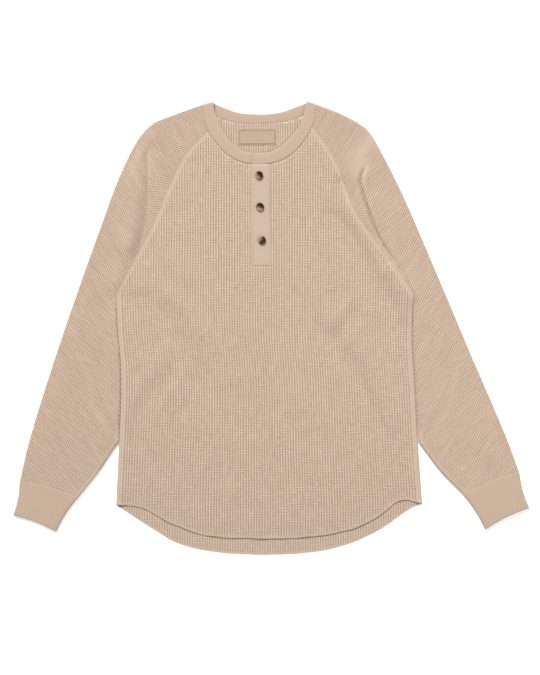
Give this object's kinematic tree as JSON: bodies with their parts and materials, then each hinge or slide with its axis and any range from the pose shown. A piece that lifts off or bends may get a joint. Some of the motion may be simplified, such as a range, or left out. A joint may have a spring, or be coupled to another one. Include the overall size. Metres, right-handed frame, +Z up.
{
  "type": "henley shirt",
  "caption": "Long-sleeve raglan waffle-knit henley laid flat, with a jersey neckband, buttoned placket, plain cuffs and a curved shirttail hem.",
  "frame": {"origin": "middle of the laid shirt's bounding box, on the surface that it lies on", "axes": "+X across the shirt from sleeve to sleeve, to the viewer's right; +Y up the body towards the neck; +Z up, out of the front"},
  "size_m": [0.8136, 0.7152, 0.0093],
  "materials": {
    "waffle": "sand cotton waffle knit, matt, with raised vertical ribs and weaker cross courses",
    "jersey": "sand cotton jersey, smooth and matt",
    "horn": "dark brown horn look, softly polished",
    "woven": "plain woven patch, slight sheen"
  },
  "bodies": {
    "root": {"back": "waffle", "front": "waffle", "sleeve_left": "waffle", "sleeve_right": "waffle", "cuff_left": "jersey", "cuff_right": "jersey", "neckband": "jersey", "placket_under": "jersey", "placket_top": "jersey", "button_1": "horn", "button_2": "horn", "button_3": "horn", "label": "woven"}
  },
  "joints": []
}
